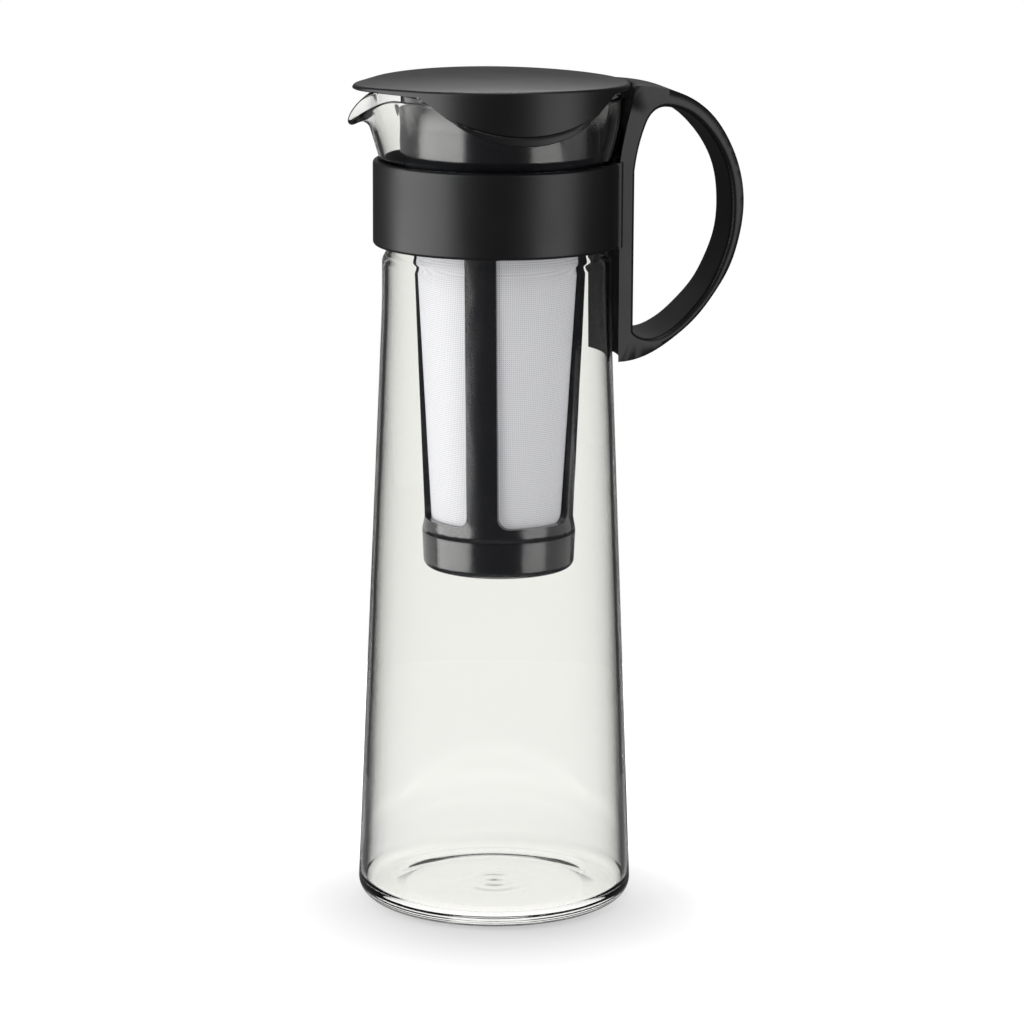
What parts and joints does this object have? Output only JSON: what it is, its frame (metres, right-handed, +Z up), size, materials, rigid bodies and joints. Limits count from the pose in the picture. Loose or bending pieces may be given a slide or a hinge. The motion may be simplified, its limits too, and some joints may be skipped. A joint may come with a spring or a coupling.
{
  "type": "cold brew coffee maker",
  "caption": "Cold brew coffee maker: a tall glass pot with a spout, a neck collar with a loop handle, a lift-out mesh strainer for ground coffee and a flat lid.",
  "frame": {"origin": "centre of the pot's flat foot, on the pot's axis", "axes": "+Z up along the pot's axis, +X towards the handle, -X towards the spout, +Y completes a right-handed frame"},
  "size_m": [0.1397, 0.098, 0.294],
  "materials": {
    "clear_glass": "clear blown borosilicate glass",
    "black_matt_plastic": "injection moulded black polypropylene, fine satin texture",
    "black_gloss_plastic": "injection moulded black polypropylene, smooth",
    "woven_mesh": "fine woven polyester mesh"
  },
  "bodies": {
    "pot": {"glass_pot": "clear_glass", "neck_collar": "black_matt_plastic", "handle": "black_matt_plastic"},
    "strainer": {"strainer_frame": "black_gloss_plastic", "mesh_panel_1": "woven_mesh", "mesh_panel_2": "woven_mesh", "mesh_panel_3": "woven_mesh", "mesh_panel_4": "woven_mesh"},
    "cap": {"strainer_cap": "black_gloss_plastic"},
    "lid": {"lid": "black_matt_plastic"}
  },
  "joints": [
    {"name": "strainer_lift", "type": "slide", "parent": "pot", "child": "strainer", "axis": [0, 0, 1], "range_m": [0, 0.175]},
    {"name": "lid_lift", "type": "slide", "parent": "strainer", "child": "lid", "axis": [0, 0, 1], "range_m": [0, 0.06]},
    {"name": "cap_pull", "type": "slide", "parent": "strainer", "child": "cap", "axis": [0, 0, -1], "range_m": [0, 0.016]}
  ]
}
